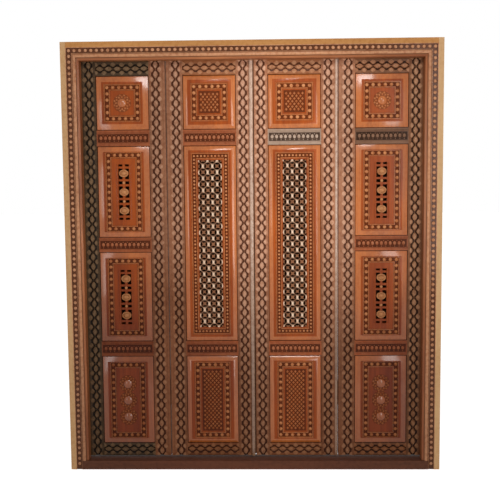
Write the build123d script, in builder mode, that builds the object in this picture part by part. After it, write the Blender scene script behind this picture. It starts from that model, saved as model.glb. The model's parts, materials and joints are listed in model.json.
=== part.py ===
from build123d import *
import os
from math import ceil, hypot

os.makedirs("parts", exist_ok=True)

# A folding door of four carved wooden leaves in its own frame, closed. X runs along the width,
# the carved side faces -Y, Z is up, and the origin is the middle of the sill's underside.
# All sizes are millimetres.

# Frame
door_w = 1860
door_h = 2134
frame_depth = 100
margin_w = 26
margin_setback = 2
frame_face = 88
stop_lap = 10
sill_h = 45
sill_lap = 32
band_start = 29
band_end = 55
band_sink = 4
bead_start = 57
bead_w = 20
bead_rise = 7
frame_slope = 6

# Running gaps round the leaves
jamb_gap = 3
fold_gap = 3
meeting_gap = 4
head_gap = 3
foot_gap = 8
stop_gap = 1

# Leaves
leaf_t = 36
hinge_stile_w = 76
fold_stile_w = 82
astragal_stile_w = 84
plain_meeting_w = 68
top_rail_h = 77
frieze_rail_h = 78
middle_rail_h = 73
lock_rail_h = 75
bottom_rail_h = 64
top_panel_h = 267
bottom_panel_h = 454

# Carving on stiles and rails
channel_w = 42
channel_inset = 13
carving_depth = 4
carving_floor = 1
lozenge_pitch = 50
lozenge_rise = 2
edge_bead_w = 15
edge_bead_rise = 3
edge_bead_slope = 4
astragal_r = 10
bar_h = 40
bar_rise = 3
bar_petals = 5

# Panels
panel_t = 28
panel_rise = 8
board_t = 4
bevel_sink = 3
bevel_w = 30
narrow_bevel_w = 24
bead_band = 18
bead_depth = 4
bead_pitch = 30
moulding_w = 16
moulding_rise = 4
ring_w = 150
ring_side = 57
ring_end = 45
boss_r = 24
boss_h = 14
petal_r = 42
petal_h = 5
boss_slope = 7
boss_spacing = 85
boss_count = 3
net_pitch = 48
net_inset = 12
slot_w = 54
slot_h = 277
disc_r = 21
disc_spacing = 93
disc_count = 3
link_w = 11
disc_rise = 3
lattice_w = 118
lattice_cell_h = 70
lattice_bar = 9
lattice_inset = 73
lattice_ring_w = 158

# Lift-off hinges
pin_r = 4.5
pin_clearance = 0.05
eye_r = 8
eye_h = 60
eye_gap = 0.4
pin_setback = 10
pin_end_gap = 3
flag_side_gap = 0.4
flag_reach = 30
hinge_inset = 260

# Worked out from the sizes above
half_w = door_w / 2
front_y = -frame_depth / 2
back_y = frame_depth / 2
leaf_front = back_y - leaf_t
panel_front = leaf_front - panel_rise
rebate = frame_face - stop_lap
opening_half = half_w - rebate
leaf_bottom = sill_h + foot_gap
leaf_top = door_h - rebate - head_gap
leaf_h = leaf_top - leaf_bottom
stiles_w = 2 * hinge_stile_w + 4 * fold_stile_w + astragal_stile_w + plain_meeting_w
gaps_w = 2 * jamb_gap + 2 * fold_gap + meeting_gap
panel_w = (2 * opening_half - stiles_w - gaps_w) / 4

# The left half, from the jamb inwards
hinge_edge = -opening_half + jamb_gap
outer_panel_left = hinge_edge + hinge_stile_w
outer_panel_right = outer_panel_left + panel_w
outer_edge = outer_panel_right + fold_stile_w
inner_edge = outer_edge + fold_gap
inner_panel_left = inner_edge + fold_stile_w
inner_panel_right = inner_panel_left + panel_w
astragal_edge = inner_panel_right + astragal_stile_w
plain_edge = astragal_edge + meeting_gap
plain_panel_edge = plain_edge + plain_meeting_w
outer_x = (outer_panel_left + outer_panel_right) / 2
inner_x = (inner_panel_left + inner_panel_right) / 2

# Heights, from the foot of a leaf upwards
bottom_panel_z = leaf_bottom + bottom_rail_h
lock_rail_z = bottom_panel_z + bottom_panel_h
tall_panel_z = lock_rail_z + lock_rail_h
top_rail_z = leaf_top - top_rail_h
top_panel_z = top_rail_z - top_panel_h
frieze_rail_z = top_panel_z - frieze_rail_h
tall_panel_h = frieze_rail_z - tall_panel_z
pierced_panel_h = (tall_panel_h - middle_rail_h) / 2
middle_rail_z = tall_panel_z + pierced_panel_h
upper_panel_z = middle_rail_z + middle_rail_h
head_lap = stop_lap - head_gap


def keep(piece, name):
    """Label a finished piece and write it."""
    piece.part.label = name
    export_step(piece.part, f"parts/{name}.step")


def keep_pair(piece, name):
    """Write a piece of the left half and its mirror image on the right."""
    keep(piece, f"{name}_left")
    with BuildPart() as twin:
        mirror(piece.part, about=Plane.YZ)
    keep(twin, f"{name}_right")


def face_plane(x, z, y):
    """A plane that looks out of the door's front, with its own x and y along X and Z."""
    return Plane(origin=(x, y, z), x_dir=(1, 0, 0), z_dir=(0, -1, 0))


def saw(plane, teeth, rise):
    """A row of pointed teeth of the given widths, on a thin floor, as a sketch."""
    points = [(-sum(teeth) / 2, 0)]
    for tooth in teeth:
        start = points[-1][0]
        points += [(start + tooth / 2, rise), (start + tooth, 0)]
    corners = [(points[-1][0], -carving_floor), (points[0][0], -carving_floor)]
    with BuildSketch(plane) as outline:
        with BuildLine():
            Polyline(*points, *corners, close=True)
        make_face()
    return outline.sketch


def bead_row(teeth, width, rise):
    """Four-sided beads edge to edge along X, cut by a saw one way and a ridge the other."""
    with BuildPart() as row:
        extrude(saw(Plane.XZ, teeth, rise), amount=width, both=True)
        extrude(saw(Plane.YZ, [width], rise), amount=sum(teeth), both=True, mode=Mode.INTERSECT)
    return row.part


def bead_ring(width, height, rise):
    """A rectangle of beads, with a square bead at each corner. Its size is to the bead centres."""
    across = round((width - bead_band) / bead_pitch)
    up = round((height - bead_band) / bead_pitch)
    row = bead_row([bead_band] + [(width - bead_band) / across] * across + [bead_band], bead_band, rise)
    column = bead_row([(height - bead_band) / up] * up, bead_band, rise)
    with BuildPart() as ring:
        with Locations((0, height / 2, 0), (0, -height / 2, 0)):
            add(row)
        with Locations((width / 2, 0, 0), (-width / 2, 0, 0)):
            add(column, rotation=(0, 0, 90))
    return ring.part


def lozenge_net(length, width, pitch, across, rise):
    """Pointed lozenges that meet at their corners, clipped to a length along X and a width."""
    count = round(length / pitch)
    pitch = length / count
    side = hypot(pitch, across)
    tooth = pitch * across / side
    teeth = [tooth] * (2 * ceil((length + width) / 2 / tooth) + 1)
    middle = 0 if count % 2 else pitch / 2
    with BuildPart() as net:
        with Locations((0, 0, -carving_floor)):
            Box(length, width, rise + carving_floor, align=(Align.CENTER, Align.CENTER, Align.MIN))
        for turn in (1, -1):
            ridge = Plane(
                origin=(middle, 0, 0),
                x_dir=(-turn * across / side, pitch / side, 0),
                z_dir=(pitch / side, turn * across / side, 0),
            )
            extrude(saw(ridge, teeth, rise), amount=length + width, both=True, mode=Mode.INTERSECT)
    return net.part


def chain(length):
    """A chain of lozenges that stand in a V-shaped channel, with half petals left between them."""
    rise = carving_depth + lozenge_rise
    return lozenge_net(length, channel_w, lozenge_pitch, channel_w * rise / lozenge_rise, rise)


def frame_section(plane):
    """Section of a jamb or the head: local x from the outer face inwards, local y to the back."""
    face_y = front_y + margin_setback
    bead_end = bead_start + bead_w
    bead_foot = front_y + bead_rise
    stop_back = leaf_front - stop_gap
    with BuildSketch(plane) as section:
        with BuildLine():
            Polyline(
                (margin_w, back_y),
                (margin_w, face_y),
                (band_start, face_y),
                (band_start, face_y + band_sink),
                (band_end, face_y + band_sink),
                (band_end, face_y),
                (bead_start, face_y),
                (bead_start, bead_foot),
            )
            ThreePointArc(
                (bead_start, bead_foot),
                (bead_start + bead_w / 2, front_y),
                (bead_end, bead_foot),
            )
            Polyline(
                (bead_end, bead_foot),
                (frame_face, bead_foot + frame_slope),
                (frame_face, stop_back),
                (rebate, stop_back),
                (rebate, back_y),
                (margin_w, back_y),
            )
        make_face()
    return section.sketch


def stile(panel_edge, toward, width, edge):
    """A stile: a V-shaped channel with its chain, then a bead, an astragal or nothing at its edge."""
    channel_middle = channel_inset + channel_w / 2
    edge_w, edge_rise = {
        "plain": (0, 0),
        "bead": (edge_bead_w, edge_bead_rise),
        "astragal": (2 * astragal_r, astragal_r),
    }[edge]

    def at(reach, y):
        return (panel_edge + toward * reach, y)

    with BuildPart() as piece:
        with BuildSketch(Plane.XY.offset(leaf_bottom)):
            with BuildLine():
                Polyline(
                    at(width - edge_w, leaf_front),
                    at(channel_inset + channel_w, leaf_front),
                    at(channel_middle, leaf_front + carving_depth),
                    at(channel_inset, leaf_front),
                    at(0, leaf_front),
                    at(0, back_y),
                    at(width, back_y),
                    at(width, leaf_front),
                )
                if edge == "bead":
                    Polyline(
                        at(width, leaf_front),
                        at(width - edge_bead_slope, leaf_front - edge_rise),
                        at(width - edge_w + edge_bead_slope, leaf_front - edge_rise),
                        at(width - edge_w, leaf_front),
                    )
                if edge == "astragal":
                    ThreePointArc(
                        at(width, leaf_front),
                        at(width - edge_w / 2, leaf_front - edge_rise),
                        at(width - edge_w, leaf_front),
                    )
            make_face()
        extrude(amount=leaf_h)
        if edge_rise:
            with BuildSketch(Plane.XY.offset(leaf_top - head_lap - stop_gap)):
                with Locations(at(width / 2, leaf_front)):
                    Rectangle(width, 2 * edge_rise, align=(Align.CENTER, Align.MAX))
            extrude(amount=head_lap + stop_gap, mode=Mode.SUBTRACT)
        middle = at(channel_middle, leaf_front)[0]
        with Locations(face_plane(middle, leaf_bottom + leaf_h / 2, leaf_front + carving_depth)):
            add(stile_chain, rotation=(0, 0, 90))
    return piece


def rail(x, z, height):
    """The plain block of a rail, which fills the width between two stiles."""
    with BuildPart() as block:
        with BuildSketch(face_plane(x, z + height / 2, leaf_front)):
            Rectangle(panel_w, height)
        extrude(amount=-leaf_t)
    return block.part


def chained_rail(x, z, height, channel_z):
    """A top or bottom rail, with a channel and its chain at the given height."""
    with BuildPart() as piece:
        add(rail(x, z, height))
        with BuildSketch(Plane.YZ.offset(x)):
            Polygon(
                (leaf_front, channel_z - channel_w / 2),
                (leaf_front, channel_z + channel_w / 2),
                (leaf_front + carving_depth, channel_z),
                align=None,
            )
        extrude(amount=panel_w / 2, both=True, mode=Mode.SUBTRACT)
        with Locations(face_plane(x, channel_z, leaf_front + carving_depth)):
            add(rail_chain)
    return piece


def petal_rail(x, z, height):
    """A rail between panels, with a raised bar of petals along its middle."""
    petals = bead_row([panel_w / bar_petals] * bar_petals, bar_h, bar_rise)
    with BuildPart() as piece:
        add(rail(x, z, height))
        with Locations(face_plane(x, z + height / 2, leaf_front - carving_floor)):
            add(petals)
    return piece


def raised_panel(x, z, height, bevel):
    """A panel block whose front stands proud, with a wide bevel down to its edges."""
    with BuildPart() as block:
        with BuildSketch(face_plane(x, z + height / 2, panel_front)):
            Rectangle(panel_w, height)
        extrude(amount=-panel_t)
        front = block.faces().sort_by(Axis.Y)[0]
        chamfer(front.edges(), length=bevel, length2=panel_rise + bevel_sink, reference=front)
    return block.part


def moulded_panel(x, z, height, bevel, ring_width, ring_inset):
    """A raised panel with a rectangle of plain moulding on its front."""
    ring_h = height - 2 * ring_inset
    with BuildPart() as piece:
        add(raised_panel(x, z, height, bevel))
        with BuildSketch(face_plane(x, z + height / 2, panel_front)):
            Rectangle(ring_width + moulding_w, ring_h + moulding_w)
            Rectangle(ring_width - moulding_w, ring_h - moulding_w, mode=Mode.SUBTRACT)
        extrude(amount=moulding_rise)
    return piece.part


def beaded_panel(x, z, height, bevel):
    """A raised panel with a rectangle of beads sunk into its front."""
    middle = z + height / 2
    ring_h = height - 2 * ring_side
    with BuildPart() as piece:
        add(raised_panel(x, z, height, bevel))
        with BuildSketch(face_plane(x, middle, panel_front)):
            Rectangle(ring_w + bead_band, ring_h + bead_band)
            Rectangle(ring_w - bead_band, ring_h - bead_band, mode=Mode.SUBTRACT)
        extrude(amount=-bead_depth - carving_floor, mode=Mode.SUBTRACT)
        with Locations(face_plane(x, middle, panel_front + bead_depth)):
            add(bead_ring(ring_w, ring_h, bead_depth))
    return piece.part


def netted(panel, x, middle, height):
    """The given panel with a sunk field of lozenges of the given height at its middle."""
    width = ring_w - bead_band - 2 * net_inset
    with BuildPart() as piece:
        add(panel)
        with BuildSketch(face_plane(x, middle, panel_front)):
            Rectangle(width, height)
        extrude(amount=-carving_depth - carving_floor, mode=Mode.SUBTRACT)
        pitch = width / round(width / net_pitch)
        with Locations(face_plane(x, middle, panel_front + carving_depth)):
            add(lozenge_net(height, width, pitch, pitch, carving_depth), rotation=(0, 0, 90))
    return piece


def bossed(panel, x, middle, count):
    """The given panel with a column of bosses at its middle, each on an eight-sided rosette."""
    with BuildPart() as piece:
        add(panel)
        for radius, rise in ((petal_r, petal_h), (boss_r, boss_h)):
            with BuildSketch(face_plane(x, middle, panel_front)):
                with GridLocations(0, boss_spacing, 1, count):
                    RegularPolygon(radius, side_count=8)
            extrude(amount=rise)
        tops = piece.faces().sort_by(Axis.Y)[:count]
        chamfer(tops.edges(), length=boss_slope)
    return piece


def pierced_panel(x, z, height):
    """A moulded panel with a column of discs joined by crossed bars, pierced between them."""
    field = face_plane(x, z + height / 2, panel_front)
    void_h = disc_spacing - 2 * disc_r
    with BuildPart() as piece:
        add(moulded_panel(x, z, height, bevel_w, ring_w, ring_end))
        with BuildSketch(field):
            with GridLocations(0, disc_spacing, 1, disc_count + 1):
                for side in (-1, 1):
                    Polygon(
                        (side * slot_w / 2, void_h / 2),
                        (side * slot_w / 2, -void_h / 2),
                        (side * link_w / 2, 0),
                        align=None,
                    )
            Rectangle(slot_w, slot_h, mode=Mode.INTERSECT)
        extrude(amount=-panel_t, mode=Mode.SUBTRACT)
        with BuildSketch(field):
            with GridLocations(0, disc_spacing, 1, disc_count):
                RegularPolygon(disc_r, side_count=8)
        extrude(amount=disc_rise)
    return piece


def lattice_panel(x, z, height):
    """A moulded panel pierced by a lattice of crossed diagonal bars."""
    cell_w = lattice_w / 2
    rows = round((height - 2 * lattice_inset) / lattice_cell_h)
    ring_inset = (height - rows * lattice_cell_h - lattice_ring_w + lattice_w) / 2
    hole = 1 - lattice_bar * hypot(cell_w, lattice_cell_h) / (cell_w * lattice_cell_h)
    corners = [(cell_w * hole / 2, 0), (0, lattice_cell_h * hole / 2)]
    corners += [(-corners[0][0], 0), (0, -corners[1][1])]
    with BuildPart() as piece:
        add(moulded_panel(x, z, height, narrow_bevel_w, lattice_ring_w, ring_inset))
        with BuildSketch(face_plane(x, z + height / 2, panel_front)):
            with GridLocations(cell_w, lattice_cell_h, 2, rows):
                Polygon(*corners)
            with GridLocations(0, lattice_cell_h, 1, rows - 1):
                Polygon(*corners)
        extrude(amount=-panel_t, mode=Mode.SUBTRACT)
    return piece


def back_boards(x, height, feet):
    """Thin boards that close a leaf's open panels from behind, one above each foot."""
    with BuildPart() as boards:
        for z in feet:
            with BuildSketch(face_plane(x, z + height / 2, panel_front + panel_t)):
                Rectangle(panel_w, height)
            extrude(amount=-board_t)
    return boards


def hinge_pins(gap_start, gap):
    """The two upright pins of a joint line, each with its flag in the gap between the edges."""
    axis = (gap_start + gap / 2, back_y + pin_setback)
    flag_w = gap - flag_side_gap
    with BuildPart() as pins:
        for foot in hinge_feet:
            with BuildSketch(Plane.XY.offset(foot)):
                with Locations((gap_start + flag_w / 2, axis[1] - pin_r / 2)):
                    Rectangle(flag_w, flag_reach, align=(Align.CENTER, Align.MAX))
            extrude(amount=eye_h)
            with BuildSketch(Plane.XY.offset(foot)):
                with Locations(axis):
                    Circle(pin_r)
            extrude(amount=2 * eye_h + eye_gap - pin_end_gap)
    return pins


def hinge_eyes(gap_start, gap):
    """The two forged eyes that turn on a joint line's pins, each with its flag."""
    axis = (gap_start + gap / 2, back_y + pin_setback)
    flag_w = gap - flag_side_gap
    with BuildPart() as eyes:
        for foot in hinge_feet:
            with BuildSketch(Plane.XY.offset(foot + eye_h + eye_gap)):
                with Locations(axis):
                    RegularPolygon(eye_r, side_count=8)
                with Locations((gap_start + gap - flag_w / 2, axis[1] - (pin_r + eye_r) / 2)):
                    Rectangle(flag_w, flag_reach, align=(Align.CENTER, Align.MAX))
                with Locations(axis):
                    Circle(pin_r + pin_clearance, mode=Mode.SUBTRACT)
            extrude(amount=eye_h)
    return eyes


# Frame: head and jambs of one section, mitred at the corners, and the plain sill
mitre = Plane(origin=(-half_w, 0, door_h), x_dir=(0, 1, 0), z_dir=(1, 0, 1))
sill_half = half_w - frame_face + sill_lap
with BuildPart() as jamb:
    extrude(frame_section(Plane(origin=(-half_w, 0, 0), x_dir=(1, 0, 0), z_dir=(0, 0, 1))), amount=door_h)
    split(bisect_by=mitre, keep=Keep.BOTTOM)
    with BuildSketch(Plane.XY):
        with Locations((-sill_half, front_y)):
            Rectangle(sill_lap, frame_depth, align=(Align.MIN, Align.MIN))
    extrude(amount=sill_h, mode=Mode.SUBTRACT)
keep_pair(jamb, "frame_jamb")

with BuildPart() as head:
    extrude(
        frame_section(Plane(origin=(0, 0, door_h), x_dir=(0, 0, -1), z_dir=(1, 0, 0))),
        amount=half_w,
        both=True,
    )
    split(bisect_by=mitre, keep=Keep.TOP)
    split(bisect_by=Plane(origin=(half_w, 0, door_h), x_dir=(0, 1, 0), z_dir=(-1, 0, 1)), keep=Keep.TOP)
keep(head, "frame_head")

with BuildPart() as sill:
    with BuildSketch(Plane.XY):
        with Locations((0, front_y + margin_setback)):
            Rectangle(2 * sill_half, frame_depth - margin_setback, align=(Align.CENTER, Align.MIN))
    extrude(amount=sill_h)
keep(sill, "frame_sill")

with BuildPart() as side_strip:
    with BuildSketch(Plane.XY):
        with Locations((-half_w, front_y + margin_setback)):
            Rectangle(margin_w, frame_depth - margin_setback, align=(Align.MIN, Align.MIN))
    extrude(amount=door_h)
keep_pair(side_strip, "outer_strip")

with BuildPart() as top_strip:
    with BuildSketch(Plane.XY.offset(door_h - margin_w)):
        with Locations((0, front_y + margin_setback)):
            Rectangle(door_w - 2 * margin_w, frame_depth - margin_setback, align=(Align.CENTER, Align.MIN))
    extrude(amount=margin_w)
keep(top_strip, "outer_strip_top")

# Stiles, from the jamb to the meeting line
stile_chain = chain(leaf_h)
keep_pair(stile(outer_panel_left, -1, hinge_stile_w, "plain"), "outer_hinge_stile")
keep_pair(stile(outer_panel_right, 1, fold_stile_w, "bead"), "outer_fold_stile")
keep_pair(stile(inner_panel_left, -1, fold_stile_w, "bead"), "inner_fold_stile")
keep(stile(inner_panel_right, 1, astragal_stile_w, "astragal"), "meeting_stile_left")
keep(stile(plain_panel_edge, -1, plain_meeting_w, "plain"), "meeting_stile_right")

# Rails of the outer and the inner leaves
rail_chain = chain(panel_w)
top_channel_z = (top_rail_z + leaf_top - head_lap) / 2
bottom_channel_z = leaf_bottom + bottom_rail_h / 2
for leaf, x in (("outer", outer_x), ("inner", inner_x)):
    keep_pair(chained_rail(x, top_rail_z, top_rail_h, top_channel_z), f"{leaf}_top_rail")
    keep_pair(petal_rail(x, frieze_rail_z, frieze_rail_h), f"{leaf}_frieze_rail")
    keep_pair(petal_rail(x, lock_rail_z, lock_rail_h), f"{leaf}_lock_rail")
    keep_pair(chained_rail(x, leaf_bottom, bottom_rail_h, bottom_channel_z), f"{leaf}_bottom_rail")
keep_pair(petal_rail(outer_x, middle_rail_z, middle_rail_h), "outer_middle_rail")

# Panels of the outer leaves
top_middle = top_panel_z + top_panel_h / 2
bottom_middle = bottom_panel_z + bottom_panel_h / 2
keep_pair(
    bossed(beaded_panel(outer_x, top_panel_z, top_panel_h, bevel_w), outer_x, top_middle, 1),
    "outer_top_panel",
)
keep_pair(pierced_panel(outer_x, upper_panel_z, pierced_panel_h), "outer_upper_pierced_panel")
keep_pair(pierced_panel(outer_x, tall_panel_z, pierced_panel_h), "outer_lower_pierced_panel")
bottom_panel = moulded_panel(outer_x, bottom_panel_z, bottom_panel_h, bevel_w, ring_w, ring_end)
keep_pair(bossed(bottom_panel, outer_x, bottom_middle, boss_count), "outer_bottom_panel")

# Panels of the inner leaves
top_panel = beaded_panel(inner_x, top_panel_z, top_panel_h, narrow_bevel_w)
top_net_h = top_panel_h - 2 * ring_side - bead_band - 2 * net_inset
keep_pair(netted(top_panel, inner_x, top_middle, top_net_h), "inner_top_panel")
keep_pair(lattice_panel(inner_x, tall_panel_z, tall_panel_h), "inner_tall_lattice_panel")
bottom_panel = moulded_panel(inner_x, bottom_panel_z, bottom_panel_h, narrow_bevel_w, ring_w, ring_end)
bottom_net_h = bottom_panel_h - 2 * ring_end - bead_band - 2 * net_inset
keep_pair(netted(bottom_panel, inner_x, bottom_middle, bottom_net_h), "inner_bottom_panel")

# Thin boards behind the open panels
keep_pair(back_boards(outer_x, pierced_panel_h, [tall_panel_z, upper_panel_z]), "outer_back_boards")
keep_pair(back_boards(inner_x, tall_panel_h, [tall_panel_z]), "inner_back_board")

# Lift-off hinges, two on each joint line: the side that stays carries the pins
hinge_feet = (leaf_bottom + hinge_inset, leaf_top - hinge_inset - 2 * eye_h - eye_gap)
keep_pair(hinge_pins(-opening_half, jamb_gap), "jamb_hinge_pins")
keep_pair(hinge_eyes(-opening_half, jamb_gap), "jamb_hinge_eyes")
keep_pair(hinge_pins(outer_edge, fold_gap), "fold_hinge_pins")
keep_pair(hinge_eyes(outer_edge, fold_gap), "fold_hinge_eyes")
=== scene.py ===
"""A carved folding temple door: four leaves in a frame, dressed with the carving and the finishes."""
import json
import math

import bmesh
import bpy
from mathutils import Matrix, Vector


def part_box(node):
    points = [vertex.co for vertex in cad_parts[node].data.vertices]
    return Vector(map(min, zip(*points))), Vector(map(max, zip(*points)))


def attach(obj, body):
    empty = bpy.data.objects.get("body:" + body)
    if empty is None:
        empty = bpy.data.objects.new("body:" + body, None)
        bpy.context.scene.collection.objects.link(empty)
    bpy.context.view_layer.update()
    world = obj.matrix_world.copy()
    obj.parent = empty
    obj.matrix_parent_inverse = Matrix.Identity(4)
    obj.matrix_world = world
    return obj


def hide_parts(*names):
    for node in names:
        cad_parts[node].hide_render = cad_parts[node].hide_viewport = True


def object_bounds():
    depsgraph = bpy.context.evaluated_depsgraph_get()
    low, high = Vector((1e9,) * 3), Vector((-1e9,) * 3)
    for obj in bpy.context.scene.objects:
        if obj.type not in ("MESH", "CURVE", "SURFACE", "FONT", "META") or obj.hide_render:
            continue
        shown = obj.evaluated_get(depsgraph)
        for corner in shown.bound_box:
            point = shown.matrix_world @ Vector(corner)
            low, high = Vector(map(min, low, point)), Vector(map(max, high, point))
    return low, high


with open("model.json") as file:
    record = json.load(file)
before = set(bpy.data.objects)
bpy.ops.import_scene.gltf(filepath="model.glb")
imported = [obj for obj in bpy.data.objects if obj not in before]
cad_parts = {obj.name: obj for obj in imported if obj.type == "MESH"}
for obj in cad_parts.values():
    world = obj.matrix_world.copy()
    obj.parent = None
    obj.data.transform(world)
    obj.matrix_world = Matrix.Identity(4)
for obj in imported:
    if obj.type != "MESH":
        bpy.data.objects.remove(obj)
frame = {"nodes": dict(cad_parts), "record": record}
cad_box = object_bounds()
nodes = frame["nodes"]

# All sizes are in metres. These are depths, which grow from the door's front to its back.
LEAF_FRONT = 0.014
LEAF_BACK = 0.050
PANEL_FRONT = 0.006
PANEL_BACK = 0.034
BAND_FLOOR = -0.044

# Chains and edges of stiles and rails
CHANNEL_W = 0.042
CHANNEL_INSET = 0.013
CHANNEL_DEPTH = 0.006
CHANNEL_ARRIS = 0.0009
TOP_CHAIN_LIFT = 0.035
BOTTOM_CHAIN_LIFT = 0.032
LINK_PITCH = 0.0475
LINK_STUD_LIFT = 0.0084
END_LINK_SHIFT = 0.002
CHAIN_END = 0.0003
FILLET_R = 0.0016
FILLET_REACHES = (0.0045, 0.0085)
ASTRAGAL_R = 0.010
ASTRAGAL_FILLET_REACH = 0.0132
EDGE_BEAD_W = 0.015
EDGE_BEAD_MARGIN = 0.0015
EDGE_BEAD_FLATNESS = 0.5
ROUND_CUT_SHORT = 0.008
MEETING_GAP = 0.004
LIP_T = 0.004
LIP_CLEARANCE = 0.0005

# Rails with petals
BAR_H = 0.040
BAR_MARGIN = 0.006
BAR_RISE = 0.002
BAR_ROOT = 0.010
ARCH_PITCH = 0.022
ARCH_FOOT = -0.011
ARCH_PEARL = -0.0145
TOP_PEARL = 0.0125
RAIL_FILLETS = (-0.024, 0.024, 0.029)

# Section of the raised panels
BEVEL_W = 0.030
NARROW_BEVEL_W = 0.024
BEVEL_RISE = 0.011
QUIRK_W = 0.0030
QUIRK_DEPTH = 0.005
GROOVE_W = 0.0020
GROOVE_DEPTH = 0.0024
FILLET_W = 0.0018
FILLET_RISE = 0.0014
WALL_W = 0.0006
SLOPE_W = 0.0010
RING_BAND = 0.020
RING_DEPTH = 0.0042
RING_TO_GROOVE = 0.0140

# What the panels carry
PEARL_PITCH = 0.030
SMALL_PEARL_PITCH = 0.0175
TOP_RING = (0.150, 0.153)
BOTTOM_RING = (0.150, 0.364)
PIERCED_RING = (0.150, 0.366)
LATTICE_RING = (0.158, 0.880)
LATTICE_OPENING = (0.118, 0.839)
LATTICE_CELL = (0.0472, 0.060)
LATTICE_HOLE_R = 0.0176
LATTICE_THICKNESS = 0.026
LATTICE_CREST = 0.0016
LATTICE_SINK = 0.002
GEM_H = 0.004
GEM_SINK = 0.002
GEM_FOOT = 0.99
GEM_CROWN = 0.7
GEM_WAIST = 0.44
SLOT = (0.054, 0.277)
SLOT_SINK = 0.003
SLOT_FILLETS = (0.0335, 0.0375)
SLOT_FILLET_R = 0.0013
SPINE = (0.012, SLOT[1], 0.018)
CROSS_BAR = (SLOT[0], 0.0105, 0.016)
CROSS_BAR_LIFTS = (0.034, 0.059, 0.1225)
CROSS_BAR_SINK = 0.001
DISC_BACK = (0.020, 0.036, 0.012)
DISC_BACK_SINK = 0.002
DISC_SINK = 0.004
DISC_SPACING = 0.093
DISC_STRETCH = (1.05, 0.82, 1, 1)
BOSS_SPACING = 0.085
ROSE_PETALS = 12
ROSE_PETAL_REACH = 0.0225
ROSE_PEARL_REACH = 0.0385
TOP_NET = (0.100, 0.103)
BOTTOM_NET = (0.100, 0.314)
NET_PITCH = (0.0200, 0.0230)
NET_MARGIN = 0.003
NET_GROUND_T = 0.0015
NET_GROUND_SINK = 0.0012
NET_PEARL_LIFT = 0.0030

# Pearls of the frame
FRAME_PEARL_PITCH = 0.0275
FRAME_PEARL_INSET = 0.042
FIRST_FRAME_PEARL = 0.030

LOZENGE_POINT = 1.3
SHARP_FROM = math.radians(35)
WELD = 1e-5

BODY_OF_NODE = {
    node: body for body, members in frame["record"]["behaviour"]["bodies"].items() for node in members
}


# Finishes

def colour(red, green, blue):
    """A colour as a paint chart gives it, from 0 to 255, as Blender wants it."""
    parts = [part / 255 for part in (red, green, blue)]
    return tuple(p / 12.92 if p <= 0.04045 else ((p + 0.055) / 1.055) ** 2.4 for p in parts) + (1.0,)


def new_group(name, inputs, outputs):
    """A node group with sockets only: inputs as (name, kind, start value), outputs as (name, kind)."""
    group = bpy.data.node_groups.new(name, "ShaderNodeTree")
    for label, kind, start in inputs:
        socket = group.interface.new_socket(name=label, in_out="INPUT", socket_type="NodeSocket" + kind)
        if start is not None:
            socket.default_value = start
    for label, kind in outputs:
        group.interface.new_socket(name=label, in_out="OUTPUT", socket_type="NodeSocket" + kind)
    return group, group.nodes.new("NodeGroupInput"), group.nodes.new("NodeGroupOutput")


def feed(tree, socket, value):
    """Sets an input to a number or a colour, or links it to another node's output."""
    if isinstance(value, (int, float, tuple)):
        socket.default_value = value
    else:
        tree.links.new(value, socket)


def maths(tree, operation, first, second=None, clamp=False):
    """A Math node fed by sockets or numbers. Gives its result."""
    node = tree.nodes.new("ShaderNodeMath")
    node.operation = operation
    node.use_clamp = clamp
    feed(tree, node.inputs[0], first)
    if second is not None:
        feed(tree, node.inputs[1], second)
    return node.outputs[0]


def spread(tree, value, low, high, out_low=0.0, out_high=1.0):
    """A clamped smooth step from low to high."""
    node = tree.nodes.new("ShaderNodeMapRange")
    node.interpolation_type = "SMOOTHSTEP"
    for place, number in enumerate((value, low, high, out_low, out_high)):
        feed(tree, node.inputs[place], number)
    return node.outputs[0]


def mixed(tree, share, first, second, blend="MIX"):
    """Two colours mixed by a share from 0 to 1. Gives the colour."""
    node = tree.nodes.new("ShaderNodeMix")
    node.data_type = "RGBA"
    node.blend_type = blend
    for place, value in ((0, share), (6, first), (7, second)):
        feed(tree, node.inputs[place], value)
    return node.outputs[2]


def noise(tree, vector, scale, detail=3.0, roughness=0.55, stretch=None):
    """A noise value. A stretch squeezes its space first."""
    if stretch is not None:
        squeeze = tree.nodes.new("ShaderNodeVectorMath")
        squeeze.operation = "MULTIPLY"
        squeeze.inputs[1].default_value = stretch
        tree.links.new(vector, squeeze.inputs[0])
        vector = squeeze.outputs[0]
    node = tree.nodes.new("ShaderNodeTexNoise")
    node.inputs["Scale"].default_value = scale
    node.inputs["Detail"].default_value = detail
    node.inputs["Roughness"].default_value = roughness
    tree.links.new(vector, node.inputs["Vector"])
    return node.outputs["Fac"]


def grain_group():
    """Long fibres that run along Z: streaks, fine pores and the height that goes with them."""
    group, start, end = new_group(
        "wood_grain", [("Vector", "Vector", None)],
        [("Streaks", "Float"), ("Pores", "Float"), ("Height", "Float")],
    )
    vector = start.outputs["Vector"]
    broad = noise(group, vector, 9.0, detail=4.0, roughness=0.6, stretch=(1.0, 1.0, 0.12))
    fine = noise(group, vector, 90.0, detail=3.0, roughness=0.6, stretch=(1.0, 1.0, 0.05))
    dots = noise(group, vector, 420.0, detail=2.0, roughness=0.5, stretch=(1.0, 1.0, 0.03))
    streaks = maths(group, "ADD", maths(group, "MULTIPLY", broad, 0.65), maths(group, "MULTIPLY", fine, 0.35))
    pores = spread(group, dots, 0.58, 0.72)
    group.links.new(spread(group, streaks, 0.32, 0.68), end.inputs["Streaks"])
    group.links.new(pores, end.inputs["Pores"])
    height = maths(group, "SUBTRACT", fine, maths(group, "MULTIPLY", pores, 0.5))
    group.links.new(height, end.inputs["Height"])
    return group


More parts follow.
